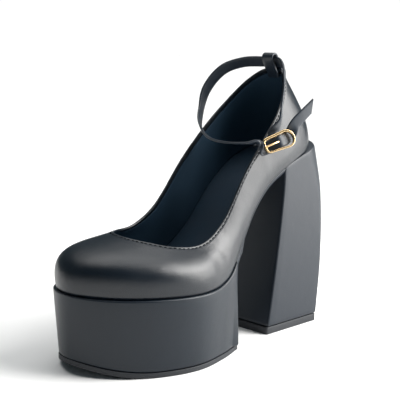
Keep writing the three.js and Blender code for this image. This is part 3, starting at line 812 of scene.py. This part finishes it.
def bandRing(centre, across, out, width, thick, edge=0.5):
    # a flat band's section with rounded long edges; edge is the rounding's share of the thickness
    w, t = width / 2, thick / 2
    r = t * edge * 2
    points = []
    for sx, sy, first in ((1, 1, 90), (1, -1, 0), (-1, -1, -90), (-1, 1, 180)):
        for k in range(4):
            a = math.radians(first - 30 * k)
            points.append((sx * (w - r) + r * math.cos(a), sy * (t - r) + r * math.sin(a)))
        if sy * sx > 0:
            points.append((sx * w, 0))
    middle = [(w * 0.5, -t), (0, -t), (-w * 0.5, -t)]
    points = points[:9] + middle + points[9:] + [(-p[0], t) for p in middle]
    return [centre + across * a + out * b for a, b in points]


def makeStrap():
    start = buckle["barDepth"] - buckle["bar"] - 1.5 * buckle["gap"] - strap["thick"] / 2
    stations = [
        (onBuckle(0, -1.4, start), -buckle["along"]),
        (onBuckle(0, 3.5, start), -buckle["along"]),
        (onBuckle(0.8, 7.8, start - 0.4), -buckle["along"]),
    ]

    def station(r):
        return Vector((r["x"], r["y"], r["z"])), Vector((r["wx"], r["wy"], r["wz"]))

    stations += [station(r) for r in legUp]
    stations += [(aboveCollar(tab["strapRise"], tab["middle"], x), tab["up"]) for x in (7, -7)]
    stations += [station(r) for r in roundFront]
    stations += [(onBuckle(r["along"], r["across"], r["out"]), buckle["across"]) for r in underBuckle]
    stations += [station(r) for r in tail]
    route, turning = spline([s[0] for s in stations]), spline([s[1] for s in stations])
    rows = []
    for k in range(strap["steps"] + 1):
        t = k / strap["steps"]
        along = heading(route, t)
        across = flatTo(turning(t), along)
        out = along.cross(across)
        ring = bandRing(route(t), across, out, strap["width"], strap["thick"])
        near = smooth((t - 0.955) / 0.045)  # the last stretch leans over to the slanted cut
        for i, p in enumerate(ring):
            ring[i] = p + along * (strap["slant"] * near * (p - route(t)).dot(across) / strap["width"])
        rows.append(ring)
    finishPiece(loft(rows), "ankleStrap", "strap", ["ankle_strap"], angle=50)
    print("strap made")


def makeTab():
    centres = []
    for s in (tab["from"], 0.8, 0.86, 0.92, 0.96):
        centres.append(wallPoint(0.5, s) + wallNormal(0.5, s) * tab["outer"])
    straight = tab["rise"] - tab["turn"] - tab["thick"] / 2
    centres += [aboveCollar(straight * share, tab["outer"]) for share in (0.1, 0.4, 0.7)]
    for k in range(7):
        a = math.pi * k / 6
        rise, off = tab["turn"] * math.sin(a), tab["turn"] * math.cos(a)
        centres.append(aboveCollar(straight + rise, tab["middle"] + off))
    centres += [aboveCollar(straight * share, tab["inner"]) for share in (0.7, 0.4, 0.1)]
    for s in (0.96, 0.92):
        centres.append(wallPoint(0.5, s) + wallNormal(0.5, s) * tab["inner"])
    path = spline(centres)
    rows = []
    for k in range(91):
        along = heading(path, k / 90)
        out = Vector((0, along.z, -along.y))
        rows.append(bandRing(path(k / 90), Vector((1, 0, 0)), out, tab["width"], tab["thick"]))
    finishPiece(loft(rows), "backLoop", "strap", ["back_loop"], angle=50)


def onFrame(along, across):
    # the frame narrows towards its front
    share = clamp((along + buckle["length"] / 2) / (buckle["length"] - buckle["width"] / 2))
    return across * mix(buckle["upperFront" if across > 0 else "lowerFront"], 1, share)


def frameLine(steps):
    # the frame's middle line in the buckle's own directions: square at the front, round at the back
    x, y = buckle["length"] / 2 - buckle["wall"] / 2, buckle["width"] / 2 - buckle["wall"] / 2
    corner = buckle["corner"]
    points = [(mix(-x + corner, x - y, k / 6), y) for k in range(6)]
    points += [(x - y + y * math.sin(a), y * math.cos(a)) for a in (math.pi * k / 12 for k in range(13))]
    points += [(mix(x - y, -x + corner, k / 6), -y) for k in range(1, 6)]
    arc = []
    for a in map(math.radians, (90, 60, 30, 0)):
        arc.append((-x + corner * (1 - math.cos(a)), y - corner * (1 - math.sin(a))))
    points += [(px, -py) for px, py in arc] + arc[::-1]
    line = spline([(px, onFrame(px, py), 0) for px, py in points], closed=True)
    shares = [k / steps for k in range(steps)]
    return [(line(s), (line(s + 0.002) - line(s - 0.002)).normalized()) for s in shares]


def rodBetween(points, wires, sides=14, count=24):
    # a round rod through points, with a rounded end each way
    rings = []
    out = buckle["out"]
    dense = spline(points)
    for k in range(count + 1):
        t = k / count
        along = heading(dense, t)
        aside = flatTo(along.cross(out), along)
        up = aside.cross(along)
        wire = mix(wires[0], wires[1], t)
        fade = min(1, math.sqrt(max(0, 1 - (1 - clamp(min(t, 1 - t) * count / 1.6)) ** 2)) + 0.12)
        rings.append([
            dense(t) + aside * (wire * fade * math.cos(a)) + up * (wire * fade * math.sin(a))
            for a in (2 * math.pi * i / sides for i in range(sides))
        ])
    return loft(rings)


def makeBuckle():
    rows = []
    for p, t in frameLine(120):
        aside = buckle["along"] * -t.y + buckle["across"] * t.x
        wall = buckle["wall"] + buckle["upperRail"] * clamp(t.x) * clamp(p.y)
        rows.append(bandRing(onBuckle(p.x, p.y, 0), buckle["out"], aside, buckle["height"], wall, 0.3))
    finishPiece(loft(rows, closed=True), "buckleFrame", "gold", ["buckle_frame"], angle=50)

    half = buckle["width"] / 2 - buckle["wall"] / 2
    ends = [onBuckle(0, onFrame(0, across), buckle["barDepth"]) for across in (-half, 0, half)]
    rod = rodBetween(ends, (buckle["bar"], buckle["bar"]))
    finishPiece(rod, "buckleBar", "gold", ["buckle_bar"])

    low = underBuckle[2]["out"] + strap["thick"] / 2 + buckle["prong"]
    high = buckle["height"] / 2 + buckle["prong"] + 0.1
    tip = -buckle["length"] / 2 - 0.4
    course = [
        onBuckle(-0.2, -0.2, low - 1.6),
        onBuckle(-1.3, -0.35, low - 0.2),
        onBuckle(-3.6, -0.6, mix(low, high, 0.75)),
        onBuckle(-7.5, -1, high + 0.35),
        onBuckle(tip, -1.5, high),
    ]
    rod = rodBetween(course, (buckle["prong"], buckle["prong"] * 0.78))
    finishPiece(rod, "buckleProng", "gold", ["buckle_prong"])
    print("loop and buckle made")


makeUpper()
makeStitches()
makePlatform()
makeOutsole()
makeInsole()
makeHeel()
makeStrap()
makeTab()
makeBuckle()


ground = {"half": 12, "tone": (0.9, 0.9, 0.9, 1), "roughness": 0.7}  # half its width in metres


def makeFloor():
    bm = bmesh.new()
    bmesh.ops.create_grid(bm, x_segments=1, y_segments=1, size=ground["half"])
    mesh = bpy.data.meshes.new("floor")
    bm.to_mesh(mesh)
    bm.free()
    floor = bpy.data.objects.new("floor", mesh)
    f = Finish("paleFloor")
    f.set(Base_Color=ground["tone"], Roughness=ground["roughness"], Specular_IOR_Level=0.2)
    mesh.materials.append(f.material)
    bpy.context.scene.collection.objects.link(floor)
    floor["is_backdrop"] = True


suns = {
    # name: (compass from the outer side towards the back, height and spread in degrees, strength, colour)
    "sky": (44, 44, 40, 3.1, (1.0, 0.985, 0.965)),
    "overhead": (150, 76, 60, 1.9, (1.0, 0.99, 0.97)),
}
window = {"from": (0.58, 0.60, 0.38), "across": 0.7, "up": 0.72, "watts": 14.5, "colour": (1.0, 0.985, 0.96)}
room = {"ambient": 0.11, "colour": (0.7, 0.9, 1.0, 1), "backdrop": 1.02, "middle": (0, 0, 0.08)}


def makeLamp(lamp, spot):
    made = bpy.data.objects.new(lamp.name, lamp)
    made.location = spot
    made.rotation_euler = (Vector(room["middle"]) - spot).to_track_quat("-Z", "Y").to_euler()
    made.visible_camera = False
    bpy.context.scene.collection.objects.link(made)


def makeLights():
    for name, (compass, height, spread, strength, colour) in suns.items():
        lamp = bpy.data.lights.new(name, "SUN")
        lamp.energy, lamp.angle, lamp.color = strength, math.radians(spread), colour
        a, h = math.radians(compass), math.radians(height)
        makeLamp(lamp, Vector((math.cos(a) * math.cos(h), math.sin(a) * math.cos(h), math.sin(h))) * 5)
    lamp = bpy.data.lights.new("window", "AREA")
    lamp.shape, lamp.size, lamp.size_y = "RECTANGLE", window["across"], window["up"]
    lamp.energy, lamp.color = window["watts"], window["colour"]
    makeLamp(lamp, Vector(window["from"]))
    # the room is dim, with a plain white backdrop behind the shoe
    world = bpy.data.worlds.new("studio")
    bpy.context.scene.world = world
    world.use_nodes = True
    tree = world.node_tree
    dim = tree.nodes["Background"]
    dim.inputs["Color"].default_value = room["colour"]
    dim.inputs["Strength"].default_value = room["ambient"]
    white = tree.nodes.new("ShaderNodeBackground")
    white.inputs["Color"].default_value = (1, 1, 1, 1)
    white.inputs["Strength"].default_value = room["backdrop"]
    seen = tree.nodes.new("ShaderNodeLightPath")
    either = tree.nodes.new("ShaderNodeMixShader")
    tree.links.new(seen.outputs["Is Camera Ray"], either.inputs[0])
    tree.links.new(dim.outputs[0], either.inputs[1])
    tree.links.new(white.outputs[0], either.inputs[2])
    tree.links.new(either.outputs[0], tree.nodes["World Output"].inputs["Surface"])


view = {"from": (458.4, -539.8, 212.1), "roll": -0.88, "lens": 84}


def makeCamera():
    lens = bpy.data.cameras.new("camera")
    lens.lens, lens.sensor_width, lens.clip_start = view["lens"], 36, 0.01
    camera = bpy.data.objects.new("camera", lens)
    camera.location = metres(view["from"])
    low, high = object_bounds()
    centre = (low + high) / 2
    look = (centre - camera.location).to_track_quat("-Z", "Y").to_matrix()
    rolled = look @ Matrix.Rotation(math.radians(-view["roll"]), 3, "Z")
    camera.rotation_euler = rolled.to_euler()
    bpy.context.scene.collection.objects.link(camera)
    bpy.context.scene.camera = camera


makeFloor()
makeLights()
makeCamera()
bpy.context.scene.view_settings.view_transform = "Standard"
print("floor, lights and camera made")
